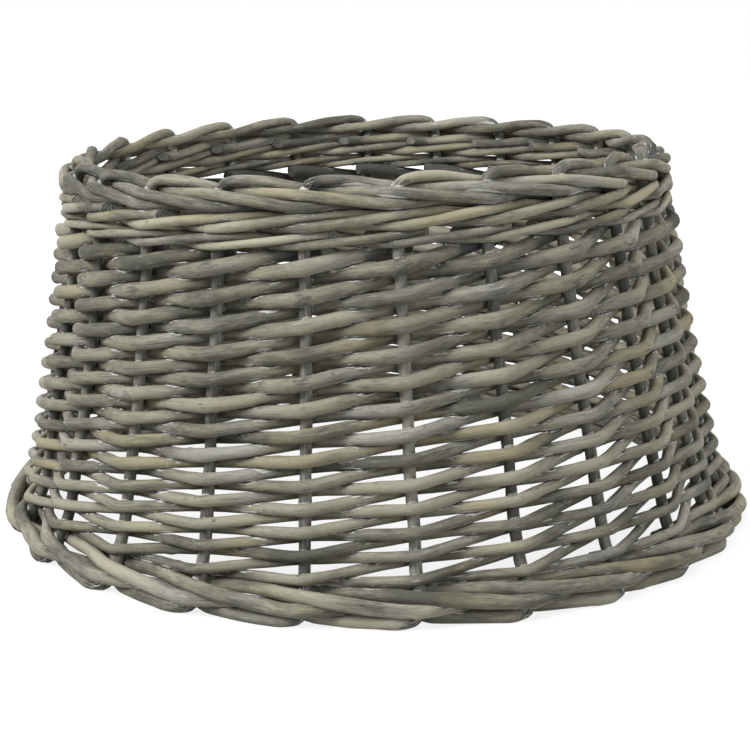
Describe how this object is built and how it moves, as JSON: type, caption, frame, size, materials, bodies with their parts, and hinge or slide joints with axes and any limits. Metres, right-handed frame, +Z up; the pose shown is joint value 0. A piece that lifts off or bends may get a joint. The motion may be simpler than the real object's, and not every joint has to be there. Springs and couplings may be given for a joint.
{
  "type": "wicker tree collar",
  "caption": "Open tapered ring of woven willow rods, wide at the foot, with plaited borders at foot and rim, that stands round a tree's stand or pot.",
  "frame": {"origin": "centre of the collar on the surface that it stands on", "axes": "+Z up, the way the collar narrows; -Y the front of the picture, +X to its right"},
  "size_m": [0.5682, 0.5678, 0.2819],
  "materials": {
    "stake_willow": "weathered grey willow rod, bark on, fine lengthwise grain, matt",
    "weaver_willow": "weathered grey-brown willow rod with traces of white wash, matt",
    "wale_willow": "paler weathered willow rod with traces of white wash, matt"
  },
  "bodies": {
    "root": {"stake_01": "stake_willow", "stake_02": "stake_willow", "stake_03": "stake_willow", "stake_04": "stake_willow", "stake_05": "stake_willow", "stake_06": "stake_willow", "stake_07": "stake_willow", "stake_08": "stake_willow", "stake_09": "stake_willow", "stake_10": "stake_willow", "stake_11": "stake_willow", "stake_12": "stake_willow", "stake_13": "stake_willow", "stake_14": "stake_willow", "stake_15": "stake_willow", "stake_16": "stake_willow", "stake_17": "stake_willow", "stake_18": "stake_willow", "stake_19": "stake_willow", "stake_20": "stake_willow", "stake_21": "stake_willow", "stake_22": "stake_willow", "stake_23": "stake_willow", "stake_24": "stake_willow", "weaver_01": "weaver_willow", "weaver_02": "weaver_willow", "weaver_03": "weaver_willow", "weaver_04": "weaver_willow", "weaver_05": "weaver_willow", "weaver_06": "weaver_willow", "weaver_07": "weaver_willow", "weaver_08": "weaver_willow", "weaver_09": "weaver_willow", "weaver_10": "weaver_willow", "weaver_11": "weaver_willow", "weaver_12": "weaver_willow", "weaver_13": "weaver_willow", "weaver_14": "weaver_willow", "weaver_15": "weaver_willow", "weaver_16": "weaver_willow", "weaver_17": "weaver_willow", "weaver_18": "weaver_willow", "weaver_19": "weaver_willow", "weaver_20": "weaver_willow", "weaver_21": "weaver_willow", "weaver_22": "weaver_willow", "weaver_23": "weaver_willow", "weaver_24": "weaver_willow", "lower_wale_01": "wale_willow", "lower_wale_02": "wale_willow", "lower_wale_03": "wale_willow", "upper_wale_01": "wale_willow", "upper_wale_02": "wale_willow", "upper_wale_03": "wale_willow"}
  },
  "joints": []
}
